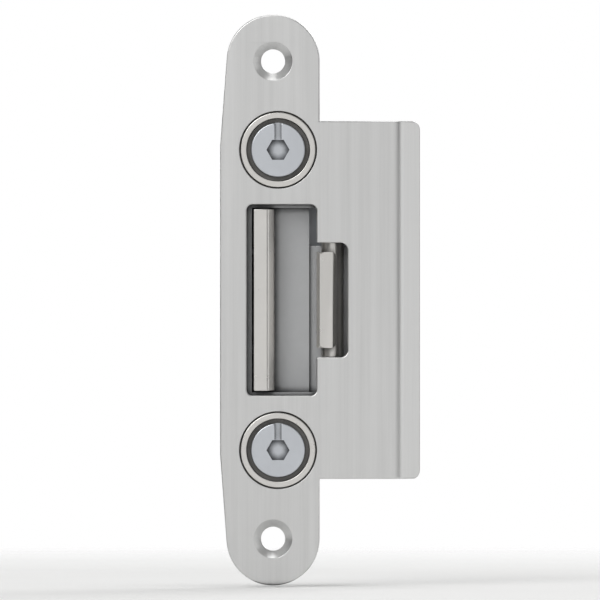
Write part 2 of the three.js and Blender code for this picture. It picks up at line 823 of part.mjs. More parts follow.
// A tube about the coil's upright axis.
function coilRing(inner, outer, bottom, top) {
  const solid = prism('z', circle(COIL.x, COIL.y, outer, 24), bottom, top);
  return cut(solid, prism('z', circle(COIL.x, COIL.y, inner, 20), bottom - 1, top + 1));
}

function coilBobbin() {
  const { bobbinBottom: bottom, bobbinTop: top, flange, flangeRadius, tubeRadius, coreRadius } = COIL;
  const bore = coreRadius + GAP;
  const solid = union(
    coilRing(bore, tubeRadius, bottom, top),
    coilRing(bore, flangeRadius, bottom, bottom + flange),
    coilRing(bore, flangeRadius, top - flange, top),
  );
  return piece('coil_bobbin', solid, FINISH.darkPlastic);
}

function coilWinding() {
  const { bobbinBottom, bobbinTop, flange, tubeRadius, windingRadius } = COIL;
  const from = bobbinBottom + flange + GAP;
  const to = bobbinTop - flange - GAP;
  return piece('coil_winding', coilRing(tubeRadius + GAP, windingRadius, from, to), FINISH.copper);
}

function coilCore() {
  const { x, y, coreRadius, poleTop, bobbinBottom, threadDepth } = COIL;
  const rod = prism('z', circle(x, y, coreRadius, 28), bobbinBottom, poleTop);
  const bore = circle(x, y, SCREWS.coil.shankRadius + GAP, 12);
  const thread = prism('z', bore, bobbinBottom - 1, bobbinBottom + threadDepth);
  return piece('coil_core', cut(rod, thread), FINISH.softIron);
}

function coilYoke() {
  const { left, legLeft, legRight, front, back, bottom, top } = YOKE;
  const base = block(left, legRight, front, back, bottom, COIL.bobbinBottom - GAP);
  const leg = block(legLeft, legRight, front, back, bottom, top);
  const bore = circle(COIL.x, COIL.y, SCREWS.coil.shankRadius + 0.5, 14);
  const hole = prism('z', bore, bottom - 1, COIL.bobbinBottom + 1);
  return piece('coil_yoke', cut(union(base, leg), hole), FINISH.softIron);
}

function coilScrew() {
  const screw = piece('coil_screw', slottedScrew(SCREWS.coil), FINISH.zincPlated);
  screw.rotation.x = Math.PI;
  screw.position.set(COIL.x, COIL.y, -BODY.halfHeight - GAP);
  return screw;
}

// ---------------------------------------------------------------- terminals

function terminalBlock() {
  const t = TERMINAL;
  const outline = roundedRectangle(t.left, t.right, t.bottom, t.top, [t.corner, t.corner, 0, 0]);
  const body = prism('y', outline, t.front, t.back);
  const half = t.clampHalf + GAP;
  const ceiling = t.top - t.roof;
  const tools = [
    prism('z', circle(t.middleX, t.middleY, SCREWS.block.shankRadius + 0.4, 12), t.bottom - 1, t.top + 1),
    prism('z', circle(t.middleX, t.middleY, t.screwHole, 14), t.bottom - 1, ceiling),
  ];
  for (const x of t.clampX) {
    tools.push(block(x - half, x + half, t.clampFront - GAP, t.clampBack + GAP, t.bottom - 1, ceiling));
    tools.push(prism('y', circle(x, t.screwZ, t.screwHole, 14), t.clampBack - 1, t.back + 1));
    tools.push(prism('z', circle(x, LEAD.y, LEAD.wallHole, 12), ceiling - 1, t.top + 1));
  }
  return piece('terminal_block', cut(body, ...tools), FINISH.darkPlastic);
}

function terminalBlockScrew() {
  const screw = piece('terminal_block_screw', slottedScrew(SCREWS.block), FINISH.zincPlated);
  screw.rotation.x = Math.PI;
  screw.position.set(TERMINAL.middleX, TERMINAL.middleY, TERMINAL.top - TERMINAL.roof - GAP);
  return screw;
}

// A brass cage with a bore for the wire and a threaded hole for its screw.
function terminalClamp(index) {
  const t = TERMINAL;
  const x = t.clampX[index];
  const top = t.top - t.roof - GAP;
  const cage = block(x - t.clampHalf, x + t.clampHalf, t.clampFront, t.clampBack, t.bottom + 1, top);
  const wireBore = prism('z', circle(x, LEAD.y - LEAD.radius, t.wireBore, 12), t.bottom - 1, t.top);
  const screwHole = circle(x, t.screwZ, SCREWS.clamp.shankRadius + GAP, 12);
  const screwBore = prism('y', screwHole, LEAD.y - 1, t.clampBack + 1);
  return piece(`terminal_clamp_${index + 1}`, cut(cage, wireBore, screwBore), FINISH.brass);
}

function terminalScrew(index) {
  const t = TERMINAL;
  const screw = piece(`terminal_screw_${index + 1}`, slottedScrew(SCREWS.clamp), FINISH.zincPlated);
  screw.rotation.x = -Math.PI / 2;
  screw.position.set(t.clampX[index], t.clampBack + GAP, t.screwZ);
  return screw;
}

// An insulated lead from the winding, round the yoke and through the end wall into its clamp.
function coilLead(index) {
  const x = TERMINAL.clampX[index];
  const height = LEAD.coilZ + LEAD.spacing * index;
  const route = [
    [5.4, 25.5, height],
    [9.5, 25.7, height],
    [x, 24.2, height - 3],
    [x, LEAD.y + 0.6, -25.5],
    [x, LEAD.y, -29],
    [x, LEAD.y, -33.8],
  ];
  const points = route.map((point) => new THREE.Vector3(...point));
  const curve = new THREE.CatmullRomCurve3(points, false, 'centripetal');
  const finish = index === 0 ? FINISH.redWire : FINISH.blackWire;
  return piece(`coil_lead_${index + 1}`, wire(curve, LEAD.radius, 14, 6), finish);
}

// ---------------------------------------------------------------- assembly

const strike = new THREE.Group();
strike.name = 'electric_door_strike';

strike.add(strikePlate());
for (const [name, side] of [['top', 1], ['bottom', -1]]) {
  strike.add(...adjusterSet(name, side), ...studSet(name, side));
}

const body = new THREE.Group();
body.add(housing(), rearCover(), ...coverScrews(), latchGuide());
for (const [name, side] of [['top', 1], ['bottom', -1]]) {
  body.add(latchGuideScrew(name, side), pinBlock(name, side));
}
body.add(keeper(), keeperPin(), keeperSpring());
body.add(armature(), armaturePin(), armatureClip(), armatureSpring());
body.add(coilBobbin(), coilWinding(), coilCore(), coilYoke(), coilScrew());
body.add(terminalBlock(), terminalBlockScrew());
for (const index of [0, 1]) {
  body.add(terminalClamp(index), terminalScrew(index), coilLead(index));
}
strike.add(body);

export default strike;
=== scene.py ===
# Looks of the electric door strike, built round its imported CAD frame. Lengths named in millimetres are
# turned into metres where a mesh is made.

import json
import math

import bmesh
import bpy
from mathutils import Matrix, Vector
from mathutils.geometry import tessellate_polygon


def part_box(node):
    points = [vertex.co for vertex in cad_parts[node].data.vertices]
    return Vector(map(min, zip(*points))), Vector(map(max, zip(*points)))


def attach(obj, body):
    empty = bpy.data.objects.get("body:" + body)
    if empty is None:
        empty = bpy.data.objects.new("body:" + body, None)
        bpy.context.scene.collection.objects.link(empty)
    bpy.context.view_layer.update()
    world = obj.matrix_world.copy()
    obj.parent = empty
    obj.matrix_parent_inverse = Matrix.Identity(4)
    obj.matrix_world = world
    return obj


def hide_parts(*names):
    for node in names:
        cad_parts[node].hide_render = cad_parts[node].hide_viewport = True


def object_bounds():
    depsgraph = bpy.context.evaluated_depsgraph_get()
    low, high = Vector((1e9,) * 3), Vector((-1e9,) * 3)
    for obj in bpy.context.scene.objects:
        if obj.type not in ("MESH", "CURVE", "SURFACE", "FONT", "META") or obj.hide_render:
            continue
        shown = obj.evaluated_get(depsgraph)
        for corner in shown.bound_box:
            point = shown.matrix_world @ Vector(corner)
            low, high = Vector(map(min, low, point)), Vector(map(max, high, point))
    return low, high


MM = 0.001

# Face plate, in millimetres
PLATE_THICKNESS = 2.0
END_RADIUS = 11.65
FIXING_Z = 59.7
LEFT_EDGE = -13.25
TAPER_START = 38.6
LIP_HALF_HEIGHT = 44.75
LIP_END = 36.9
LIP_CORNER = 2.2
BEND_START = 30.25
BEND_RADIUS = 3.9
BEND_ANGLE = math.radians(40)
RECESS = (-6.6, 10.9, 23.9, 1.5)
NOTCH = (18.65, 14.3, 1.75)
NOTCH_RELIEF = 1.0
NOTCH_MOUTH_RADIUS = 0.45
HOLE_RADIUS = 3.0
SINK_RADIUS = 4.8
BUSH_HOLE_RADIUS = 9.7
PLATE_EDGE_RADIUS = 0.35
BUSH_HOLE_EDGE_RADIUS = 0.15

# Adjusters and their bushes, in millimetres
BUSH_GAP = 0.3
BUSH_BACK = 2
WELL_RADIUS = 7.9
WELL_FLOOR = 0.5
FLANGE_WIDTH = 1.4
FLANGE_FRONT = 0.3
FLANGE_BACK = 1.3
HEAD_RADIUS = 6.8
JOURNAL_RADIUS = 4.7
PIN_RADIUS = 3.5
ECCENTRICITY = 1.4
HEXAGON_FLATS = 5.0
HEXAGON_DEPTH = 3.3
MARK_WIDTH = 1.75
MARK_DEPTH = 0.8
HEAD_FRONT = -1.8
HEAD_BACK = 0.2
JOURNAL_BACK = 2.3
PIN_FRONT = 2.2
PIN_BACK = 7.2
PIN_TIP_RADIUS = 3.2
GROOVE_FRONT = 5.4
GROOVE_BACK = 6.6
GROOVE_RADIUS = 2.6

# Screws, in millimetres: head radius, head height and shank radius
GUIDE_SCREW = (2.6, 1.4, 1.3)
COVER_SCREW = (1.6, 1.2, 1.0)
COIL_SCREW = (2.8, 1.6, 1.3)
TERMINAL_SCREW = (1.6, 1.4, 1.1)

# Weld studs and guide nuts, in millimetres
STUD_RADIUS = 2.0
STUD_ROOT = 1.72
STUD_END = 10.5
THREAD_START = 1.4
THREAD_END = 10.1
THREAD_PITCH = 0.7
NUT_FLATS = 7.0
NUT_CHAMFER_RADIUS = 3.55
NUT_CORNER_RADIUS = 4.2
NUT_BORE_RADIUS = 2.2
NUT_SINK_RADIUS = 2.9
NUT_CHAMFER = 0.4

SHARP_ANGLE = math.radians(35)
PLATE_SHARP_ANGLE = math.radians(50)
SPRING_SHARP_ANGLE = math.radians(60)

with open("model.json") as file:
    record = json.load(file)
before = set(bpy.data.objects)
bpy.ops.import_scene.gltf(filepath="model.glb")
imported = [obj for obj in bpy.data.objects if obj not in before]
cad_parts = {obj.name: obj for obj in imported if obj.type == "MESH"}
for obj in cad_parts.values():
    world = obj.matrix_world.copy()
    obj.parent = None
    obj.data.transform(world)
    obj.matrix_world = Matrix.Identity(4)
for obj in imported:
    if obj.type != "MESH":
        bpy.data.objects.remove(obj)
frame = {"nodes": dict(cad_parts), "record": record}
cad_low, cad_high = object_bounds()


# ---------------------------------------------------------------- meshes

def new_piece(name, verts, faces, sharp_angle=SHARP_ANGLE):
    """An object from points in millimetres, with outward faces and smooth shading between sharp edges."""
    mesh = bpy.data.meshes.new(name)
    mesh.from_pydata([Vector(v) * MM for v in verts], [], faces)
    return finish_piece(name, mesh, sharp_angle)


def finish_piece(name, mesh, sharp_angle):
    bm = bmesh.new()
    bm.from_mesh(mesh)
    bmesh.ops.remove_doubles(bm, verts=bm.verts[:], dist=1e-7)
    bmesh.ops.recalc_face_normals(bm, faces=bm.faces[:])
    bm.to_mesh(mesh)
    bm.free()
    mesh.shade_smooth()
    mesh.set_sharp_from_angle(angle=sharp_angle)
    piece = bpy.data.objects.new(name, mesh)
    bpy.context.scene.collection.objects.link(piece)
    normals = piece.modifiers.new("even_normals", "WEIGHTED_NORMAL")
    normals.keep_sharp = True
    normals.weight = 100
    return piece


def bake_modifiers(piece):
    """Turns a piece's modifiers into its mesh."""
    depsgraph = bpy.context.evaluated_depsgraph_get()
    mesh = bpy.data.meshes.new_from_object(piece.evaluated_get(depsgraph))
    piece.modifiers.clear()
    piece.data = mesh


def boolean(piece, operation, *cutters):
    """Cuts or intersects a piece with others, which are used up."""
    normals = piece.modifiers["even_normals"]
    piece.modifiers.remove(normals)
    for cutter in cutters:
        step = piece.modifiers.new("cut", "BOOLEAN")
        step.operation = operation
        step.solver = "EXACT"
        step.object = cutter
    bake_modifiers(piece)
    for cutter in cutters:
        bpy.data.objects.remove(cutter)
    piece.data.shade_smooth()
    piece.data.set_sharp_from_angle(angle=SHARP_ANGLE)
    return piece


def soften(piece, width, angle=35, segments=2):
    """Rounds a piece's edges by a width in millimetres."""
    bevel = piece.modifiers.new("soft_edges", "BEVEL")
    bevel.width = width * MM
    bevel.segments = segments
    bevel.limit_method = "ANGLE"
    bevel.angle_limit = math.radians(angle)
    bevel.harden_normals = True
    normals = piece.modifiers.new("even_normals_after", "WEIGHTED_NORMAL")
    normals.keep_sharp = True
    normals.weight = 100
    return piece


def arc(cx, cy, radius, start, end, steps):
    """Points along an arc between two angles in degrees."""
    points = []
    for i in range(steps + 1):
        angle = math.radians(start + (end - start) * i / steps)
        points.append(Vector((cx + radius * math.cos(angle), cy + radius * math.sin(angle))))
    return points


def circle(cx, cy, radius, sides):
    return arc(cx, cy, radius, 0, 360 * (sides - 1) / sides, sides - 1)


def filleted(corners, steps=6, closed=True):
    """An outline through (x, y, radius) corners, each rounded by an arc of its radius."""
    points = []
    count = len(corners)
    for i, (x, y, radius) in enumerate(corners):
        here = Vector((x, y))
        is_end = not closed and i in (0, count - 1)
        if radius <= 0 or is_end:
            points.append(here)
            continue
        before = (Vector(corners[i - 1][:2]) - here).normalized()
        after = (Vector(corners[(i + 1) % count][:2]) - here).normalized()
        half = math.acos(max(-1, min(1, before.dot(after)))) / 2
        centre = here + (before + after).normalized() * (radius / math.sin(half))
        start = here + before * (radius / math.tan(half)) - centre
        end = here + after * (radius / math.tan(half)) - centre
        turn = start.angle_signed(end)
        for k in range(steps + 1):
            points.append(centre + start.copy() @ Matrix.Rotation(turn * k / steps, 2))
    return points


def offset_loop(loop, inset):
    """The closed loop moved towards its left, where its material lies."""
    moved = []
    for i, point in enumerate(loop):
        along_in = (point - loop[i - 1]).normalized()
        along_out = (loop[(i + 1) % len(loop)] - point).normalized()
        left_in = Vector((-along_in.y, along_in.x))
        left_out = Vector((-along_out.y, along_out.x))
        moved.append(point + (left_in + left_out) * (inset / (1 + left_in.dot(left_out))))
    return moved


def sheet_faces(outlines, reshape=None):
    """Points and faces of a sheet standing in the XZ plane. Each outline is a loop and its edge's profile,
    a list of (inset, y) from the front face to the back. The reshape function may move the points before
    the front and the back are closed."""
    verts, faces, fronts, backs = [], [], [], []
    for loop, profile in outlines:
        rings = []
        for inset, y in profile:
            ring = range(len(verts), len(verts) + len(loop))
            verts.extend((p.x, y, p.y) for p in offset_loop(loop, inset))
            rings.append(ring)
        for near, far in zip(rings, rings[1:]):
            for i in range(len(loop)):
                j = (i + 1) % len(loop)
                faces.append((near[i], near[j], far[j], far[i]))
        fronts.append(rings[0])
        backs.append(rings[-1])
    if reshape:
        reshape(verts)
    for rings in (fronts, backs):
        flat = [[Vector((verts[i][0], verts[i][2], 0)) for i in ring] for ring in rings]
        order = [i for ring in rings for i in ring]
        faces.extend(tuple(order[k] for k in triangle) for triangle in tessellate_polygon(flat))
    return verts, faces


def turned(name, profile, axis="y", centre=(0, 0, 0), sides=72, closed=False):
    """A body of revolution from (radius, height) points. Its ends lie on the axis unless it is closed."""
    across, along, up = {"x": (1, 0, 2), "y": (0, 1, 2), "z": (0, 2, 1)}[axis]
    verts, rings, faces = [], [], []
    for radius, height in profile:
        count = 1 if radius < 1e-6 else sides
        rings.append(list(range(len(verts), len(verts) + count)))
        for k in range(count):
            angle = 2 * math.pi * k / sides
            point = [0.0, 0.0, 0.0]
            point[across] = centre[across] + radius * math.cos(angle)
            point[up] = centre[up] + radius * math.sin(angle)
            point[along] = centre[along] + height
            verts.append(point)
    pairs = list(zip(rings, rings[1:]))
    if closed:
        pairs.append((rings[-1], rings[0]))
    for near, far in pairs:
        for k in range(sides):
            j = (k + 1) % sides
            corners = [near[k % len(near)], near[j % len(near)], far[j % len(far)], far[k % len(far)]]
            unique = list(dict.fromkeys(corners))
            if len(unique) > 2:
                faces.append(unique)
    return new_piece(name, verts, faces)


def prism_y(name, loop, front, back):
    """A straight prism along Y with its outline in X and Z."""
    verts, faces = sheet_faces([(loop, [(0, front), (0, back)])])
    return new_piece(name, verts, faces)


def centre_of(node):
    low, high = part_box(node)
    return (low + high) / 2 / MM


# ---------------------------------------------------------------- materials

class Nodes:
    """A material's node tree, with short calls for the nodes used here."""

    def __init__(self, name):
        self.material = bpy.data.materials.new(name)
        self.material.use_nodes = True
        self.tree = self.material.node_tree
        self.surface = self.tree.nodes["Principled BSDF"]
        self.place = self.add("ShaderNodeTexCoord").outputs["Object"]

    def add(self, kind, **settings):
        node = self.tree.nodes.new(kind)
        for key, value in settings.items():
            setattr(node, key, value)
        return node

    def link(self, source, target):
        self.tree.links.new(source, target)

    def noise(self, stretch, detail=3.0, roughness=0.5):
        """Noise whose features per metre along each axis are given by stretch."""
        mapping = self.add("ShaderNodeMapping")
        mapping.inputs["Scale"].default_value = stretch
        self.link(self.place, mapping.inputs["Vector"])
        noise = self.add("ShaderNodeTexNoise")
        noise.inputs["Scale"].default_value = 1.0
        noise.inputs["Detail"].default_value = detail
        noise.inputs["Roughness"].default_value = roughness
        self.link(mapping.outputs["Vector"], noise.inputs["Vector"])
        return noise.outputs["Fac"]

    def span(self, value, low, high, from_low=0.3, from_high=0.7):
        """The value's middle range stretched to run from low to high."""
        ramp = self.add("ShaderNodeMapRange")
        ramp.inputs["From Min"].default_value = from_low
        ramp.inputs["From Max"].default_value = from_high
        ramp.inputs["To Min"].default_value = low
        ramp.inputs["To Max"].default_value = high
        self.link(value, ramp.inputs["Value"])
        return ramp.outputs["Result"]

    def maths(self, operation, a, b):
        node = self.add("ShaderNodeMath", operation=operation)
        for socket, value in zip(node.inputs, (a, b)):
            if isinstance(value, (int, float)):
                socket.default_value = value
            else:
                self.link(value, socket)
        return node.outputs["Value"]

    def mix(self, factor, a, b):
        node = self.add("ShaderNodeMix", data_type="RGBA")
        self.link(factor, node.inputs["Factor"])
        for socket, value in ((node.inputs["A"], a), (node.inputs["B"], b)):
            if isinstance(value, tuple):
                socket.default_value = (*value, 1.0)
            else:
                self.link(value, socket)
        return node.outputs["Result"]

    def edges(self, radius):
        """Near 1 along convex and concave edges, and 0 on flat faces."""
        bevel = self.add("ShaderNodeBevel", samples=12)
        bevel.inputs["Radius"].default_value = radius * MM
        geometry = self.add("ShaderNodeNewGeometry")
        dot = self.add("ShaderNodeVectorMath", operation="DOT_PRODUCT")
        self.link(bevel.outputs["Normal"], dot.inputs[0])
        self.link(geometry.outputs["Normal"], dot.inputs[1])
        return self.span(dot.outputs["Value"], 1.0, 0.0, 0.86, 0.995)

    # An ambient-occlusion mask, used to paint shade into gaps and inner corners.
    def crevices(self, reach):
        """Near 1 deep in gaps and inner corners, and 0 on open faces."""
        occlusion = self.add("ShaderNodeAmbientOcclusion", samples=12)
        occlusion.inputs["Distance"].default_value = reach * MM
        return self.span(occlusion.outputs["AO"], 1.0, 0.0, 0.45, 0.93)

    def bump(self, height, strength, depth):
        bump = self.add("ShaderNodeBump")
        bump.inputs["Strength"].default_value = strength
        bump.inputs["Distance"].default_value = depth * MM
        self.link(height, bump.inputs["Height"])
        self.link(bump.outputs["Normal"], self.surface.inputs["Normal"])


def scaled(colour, factor):
    return tuple(min(1.0, channel * factor) for channel in colour)


def worn_surface(name, colour, roughness, grain, depth, metallic=1.0, cloud=(160, 160, 160), contrast=0.05,
                 spread=0.05, wear=0.3, grime=0.85):
    """A surface with fine directional grain, broad clouds and rubbed edges, and painted shade: its colour is
    darkened almost to black deep in gaps and inner corners. The colour is linear, grain and cloud are in
    features per metre along each axis, and depth is the grain's, in millimetres."""
    n = Nodes(name)
    fine = n.noise(grain, detail=2.0)
    broad = n.noise(cloud, detail=5.0, roughness=0.6)
    rubbed = n.maths("MULTIPLY", n.edges(0.3), n.span(broad, wear * 0.4, wear))
    # Painted shade: where the occlusion mask is high, the colour is darkened as if in shadow.
    painted_crevice_shade = n.maths("MULTIPLY", n.crevices(2.0), n.span(broad, grime, grime * 0.85))

    cloudy = n.mix(n.span(broad, 0.0, 1.0), scaled(colour, 1 - contrast), scaled(colour, 1 + contrast))
    grained = n.mix(n.span(fine, 0.0, contrast * 2.5), cloudy, scaled(colour, 1.3))
    bright = n.mix(rubbed, grained, scaled(colour, 1.35))
    # Mixes in the painted shade: deep in gaps the colour falls to 7 % of itself.
    n.link(n.mix(painted_crevice_shade, bright, scaled(colour, 0.07)), n.surface.inputs["Base Color"])

    streaky = n.span(fine, roughness - spread, roughness + spread)
    uneven = n.maths("ADD", streaky, n.span(broad, -spread, spread))
    polished = n.maths("SUBTRACT", uneven, n.maths("MULTIPLY", rubbed, 0.1))
    n.link(n.maths("ADD", polished, n.maths("MULTIPLY", painted_crevice_shade, 0.25)), n.surface.inputs["Roughness"])
    n.surface.inputs["Metallic"].default_value = metallic
    n.bump(fine, 0.5, depth)
    return n.material


def make_materials():
    """A material for every slot of the record, metals first."""
    made = {}

    def make(slot, *look, **settings):
        made[slot] = worn_surface(slot, *look, **settings)

    make("satin_steel", (0.615, 0.615, 0.61), 0.34, (2600, 2600, 40), 0.012, cloud=(420, 420, 7), spread=0.03)
    make("nickel", (0.66, 0.645, 0.62), 0.30, (700, 700, 700), 0.001, cloud=(120, 120, 120), contrast=0.02,
         spread=0.02)
    make("zinc_plated", (0.55, 0.57, 0.60), 0.33, (700, 700, 700), 0.0012, cloud=(110, 110, 110),
         contrast=0.025, spread=0.02)
    make("cast_zinc", (0.46, 0.465, 0.47), 0.50, (2600, 2600, 2600), 0.030, contrast=0.06)
    make("spring_steel", (0.36, 0.38, 0.40), 0.28, (1500, 1500, 1500), 0.002)
    make("soft_iron", (0.42, 0.43, 0.44), 0.40, (900, 3000, 3000), 0.008)
    make("brass", (0.66, 0.46, 0.17), 0.30, (600, 600, 3500), 0.005, contrast=0.08)
    make("copper", (0.55, 0.21, 0.08), 0.28, (200, 200, 5200), 0.040, contrast=0.12)
    # Dark plastic gets a weaker painted shade in its gaps.
    make("dark_plastic", (0.040, 0.042, 0.046), 0.48, (2800, 2800, 2800), 0.020, metallic=0.0, contrast=0.12,
         grime=0.5)
    make("red_wire", (0.38, 0.035, 0.025), 0.42, (1200, 1200, 1200), 0.008, metallic=0.0, wear=0.1)
    make("black_wire", (0.03, 0.03, 0.032), 0.45, (1200, 1200, 1200), 0.008, metallic=0.0, wear=0.1)
    return made


MATERIALS = make_materials()
SLOTS = {row["node"]: row["material_slot"] for row in frame["record"]["subparts"]}
BODIES = {node: body for body, nodes in frame["record"]["behaviour"]["bodies"].items() for node in nodes}


def dress(piece, slot, body, *nodes):
    """Gives a new piece its material and its body, and hides the CAD nodes that it stands for."""
    piece.data.materials.clear()
    piece.data.materials.append(MATERIALS[slot])
    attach(piece, body)
    if nodes:
        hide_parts(*nodes)
    return piece


# ---------------------------------------------------------------- CAD nodes that stay

WELD_DISTANCE = 2e-6
FLAT_ANGLE = math.radians(1.5)

# Width of the rounded edges, in millimetres
SMALL_EDGE_WIDTH = 0.08
EDGE_WIDTH = {
    "housing": 0.4,
    "rear_cover": 0.3,
    "keeper": 0.3,
    "latch_guide": 0.3,
    "terminal_block": 0.35,
    "armature": 0.2,
    "coil_yoke": 0.3,
    "coil_bobbin": 0.15,
    "terminal_clamp_1": 0.2,
    "terminal_clamp_2": 0.2,
    "pin_block_top": 0.15,
    "pin_block_bottom": 0.15,
    "adjuster_clip_top": 0.1,
    "adjuster_clip_bottom": 0.1,
    "guide_washer_top": 0.15,
    "guide_washer_bottom": 0.15,
}


def keep_cad_nodes():
    """Rounds the edges of every CAD node and gives it its material. Welding and dissolving make its
    triangles into whole faces first, so that only real edges are rounded."""
    for name, node in frame["nodes"].items():
        node.data.materials.clear()
        node.data.materials.append(MATERIALS[SLOTS[name]])
        custom = node.data.attributes.get("custom_normal")
        if custom:
            node.data.attributes.remove(custom)
        node.data.shade_smooth()
        weld = node.modifiers.new("weld", "WELD")
        weld.merge_threshold = WELD_DISTANCE
        whole = node.modifiers.new("whole_faces", "DECIMATE")
        whole.decimate_type = "DISSOLVE"
        whole.angle_limit = FLAT_ANGLE
        soften(node, EDGE_WIDTH.get(name, SMALL_EDGE_WIDTH))


# ---------------------------------------------------------------- face plate

def plate_outline(developed_end):
    """The plate's outline with the lip unrolled flat, counter-clockwise."""
    across = Vector((LEFT_EDGE, TAPER_START - FIXING_Z))
    spread = math.acos(END_RADIUS / across.length)
    tangent = 360 + math.degrees(math.atan2(across.y, across.x) - spread)
    upper = [
        *arc(developed_end - LIP_CORNER, LIP_HALF_HEIGHT - LIP_CORNER, LIP_CORNER, 0, 90, 10),
        Vector((END_RADIUS, LIP_HALF_HEIGHT)),
        *arc(0, FIXING_Z, END_RADIUS, 0, tangent, 56),
        Vector((LEFT_EDGE, TAPER_START)),
    ]
    return upper + [Vector((p.x, -p.y)) for p in reversed(upper)]


def latch_opening():
    """The latch recess and the keeper's notch beside it, as one hole."""
    left, right, tall, corner = RECESS
    far, short, notch_corner = NOTCH
    mouth = NOTCH_MOUTH_RADIUS
    loop = filleted([
        (left, -tall, corner), (right, -tall, corner), (right, -short, mouth), (far, -short, notch_corner),
        (far, short, notch_corner), (right, short, mouth), (right, tall, corner), (left, tall, corner),
    ])
    return loop[::-1]


def rounded_edge(front, back, radius):
    """A profile from front to back with both edges rounded."""
    turns = (0, 0.4, 0.8, 1.2, math.pi / 2)
    near = [(radius * (1 - math.sin(a)), front + radius * (1 - math.cos(a))) for a in turns]
    far = [(inset, front + back - y) for inset, y in reversed(near)]
    return near + far


def relieve_notch(verts):
    """Slopes the far edge of the keeper's notch away towards the back, which lets the keeper swing."""
    far, short, corner = NOTCH
    for i, (x, y, z) in enumerate(verts):
        beside = far - corner - 0.1 < x < far + 0.5
        if beside and abs(z) < short + 0.5:
            verts[i] = (x + max(0.0, y + NOTCH_RELIEF), y, z)


def bend_lip(mesh, bend_length):
    """Rolls the unrolled lip round the bend, away from the door."""
    bm = bmesh.new()
    bm.from_mesh(mesh)
    steps = 10
    for k in range(steps + 1):
        at = Vector((BEND_START + bend_length * k / steps, 0, 0)) * MM
        everything = bm.verts[:] + bm.edges[:] + bm.faces[:]
        bmesh.ops.bisect_plane(bm, geom=everything, dist=1e-7, plane_co=at, plane_no=(1, 0, 0))
    middle_y = BEND_RADIUS - PLATE_THICKNESS
    for vert in bm.verts:
        x, y = vert.co.x / MM, vert.co.y / MM
        past = x - BEND_START
        if past <= 1e-6:
            continue
        angle = BEND_ANGLE * min(1.0, past / bend_length)
        beyond = max(0.0, past - bend_length)
        radius = middle_y - y
        x = BEND_START + radius * math.sin(angle) + beyond * math.cos(angle)
        y = middle_y - radius * math.cos(angle) + beyond * math.sin(angle)
        vert.co = Vector((x * MM, y * MM, vert.co.z))
    bm.to_mesh(mesh)
    bm.free()


def face_plate():
    bend_length = BEND_ANGLE * (BEND_RADIUS - PLATE_THICKNESS / 2)
    flange = (LIP_END - BEND_START - BEND_RADIUS * math.sin(BEND_ANGLE)) / math.cos(BEND_ANGLE)
    edge = rounded_edge(-PLATE_THICKNESS, 0, PLATE_EDGE_RADIUS)
    middle = len(edge) // 2
    edge_with_step = edge[:middle] + [(0, -NOTCH_RELIEF)] + edge[middle:]
    bush_edge = rounded_edge(-PLATE_THICKNESS, 0, BUSH_HOLE_EDGE_RADIUS)
    slope = [(SINK_RADIUS - HOLE_RADIUS + 0.12, -PLATE_THICKNESS), (SINK_RADIUS - HOLE_RADIUS, -1.95)]
    sunk = slope + [(0.05, -0.25), (0, -0.15), (0, -0.1), (0.1, 0)]
    outlines = [
        (plate_outline(BEND_START + bend_length + flange), edge),
        (latch_opening(), edge_with_step),
    ]
    for side in (1, -1):
        bush = centre_of("adjuster_bush_top" if side > 0 else "adjuster_bush_bottom")
        outlines.append((circle(bush.x, bush.z, BUSH_HOLE_RADIUS, 96)[::-1], bush_edge))
        outlines.append((circle(0, side * FIXING_Z, HOLE_RADIUS, 72)[::-1], sunk))
    verts, faces = sheet_faces(outlines, reshape=relieve_notch)
    plate = new_piece("face_plate_sheet", verts, faces, sharp_angle=PLATE_SHARP_ANGLE)
    bend_lip(plate.data, bend_length)
    plate.data.set_sharp_from_angle(angle=PLATE_SHARP_ANGLE)
    return dress(plate, "satin_steel", "face_plate", "strike_plate")


def weld_stud(name, x, z):
    """A threaded stud on the plate's back, with a weld collar at its foot."""
    foot = [(0, -0.05), (2.8, -0.05), (2.8, 0.45), (2.1, 0.9), (1.75, 1.1)]
    thread = []
    y = THREAD_START
    while y + THREAD_PITCH < THREAD_END:
        thread.append((STUD_ROOT, y))
        thread.append((STUD_RADIUS, y + THREAD_PITCH * 0.42))
        thread.append((STUD_RADIUS, y + THREAD_PITCH * 0.58))
        y += THREAD_PITCH
    tip = [(STUD_ROOT, y), (1.55, STUD_END - 0.05), (0, STUD_END)]
    stud = turned(name, foot + thread + tip, centre=(x, 0, z), sides=48)
    return dress(stud, "zinc_plated", "face_plate")


# ---------------------------------------------------------------- adjusters and guide nuts

def bush(name, body):
    """A stepped ring: its well takes the adjuster's head and its flange sits behind the plate."""
    bore = JOURNAL_RADIUS + BUSH_GAP
    outer = BUSH_HOLE_RADIUS - BUSH_GAP
    flange = outer + FLANGE_WIDTH
    profile = filleted([
        (bore, BUSH_BACK, 0.15), (bore, WELL_FLOOR, 0.15),
        (WELL_RADIUS, WELL_FLOOR, 0.2), (WELL_RADIUS, -PLATE_THICKNESS, 0.2),
        (outer, -PLATE_THICKNESS, 0.3), (outer, FLANGE_FRONT, 0.1),
        (flange, FLANGE_FRONT, 0.2), (flange, FLANGE_BACK, 0.3), (outer - 0.6, BUSH_BACK, 0.2),
    ], steps=4)
    place = centre_of(name)
    ring = turned(name + "_fine", profile, centre=(place.x, 0, place.z), sides=96, closed=True)
    return dress(ring, "nickel", body, name)


def hexagon(x, z, flats):
    return [Vector((x + flats / math.sqrt(3) * math.cos(math.radians(60 * k)),
                    z + flats / math.sqrt(3) * math.sin(math.radians(60 * k)))) for k in range(6)]


